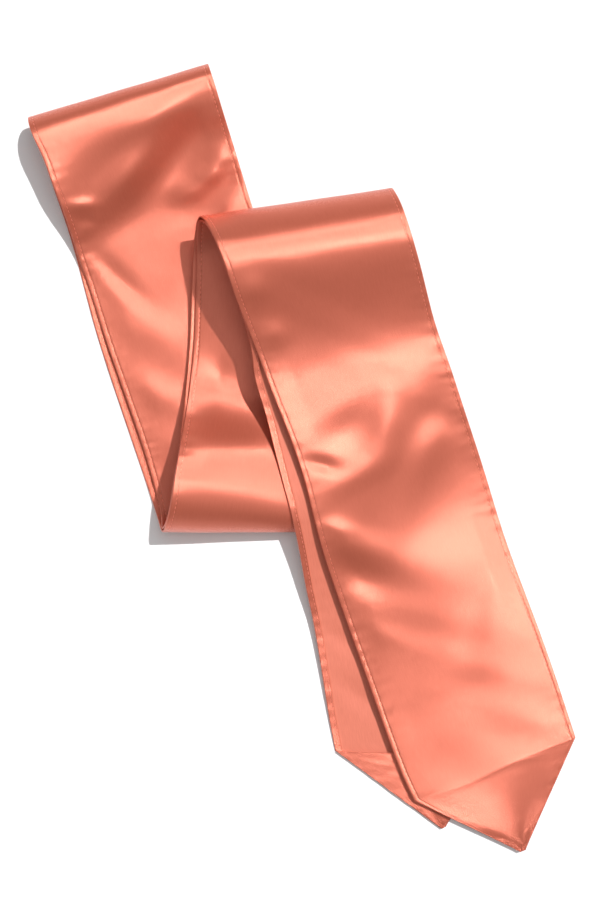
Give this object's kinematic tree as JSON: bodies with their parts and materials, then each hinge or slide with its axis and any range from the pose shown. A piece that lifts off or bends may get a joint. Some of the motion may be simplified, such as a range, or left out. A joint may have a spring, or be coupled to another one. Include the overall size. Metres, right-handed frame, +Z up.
{
  "type": "satin sash, folded",
  "caption": "Satin sash folded in half and laid down in three stretches, with soft upright turns, stitched hems and pointed ends.",
  "frame": {"origin": "on the surface that the sash lies on, under the middle of its outline", "axes": "+Z up from the surface, +Y from the pointed ends towards the middle fold, +X to the right seen from above"},
  "size_m": [0.3018, 0.4344, 0.0521],
  "materials": {
    "coral_satin": "bright satin, matte on its wrong side"
  },
  "bodies": {
    "root": {"back_lower_stretch": "coral_satin", "back_middle_stretch": "coral_satin", "back_upper_stretch": "coral_satin", "front_upper_stretch": "coral_satin", "front_middle_stretch": "coral_satin", "front_lower_stretch": "coral_satin", "back_point_pocket": "coral_satin", "front_point_pocket": "coral_satin"}
  },
  "joints": []
}
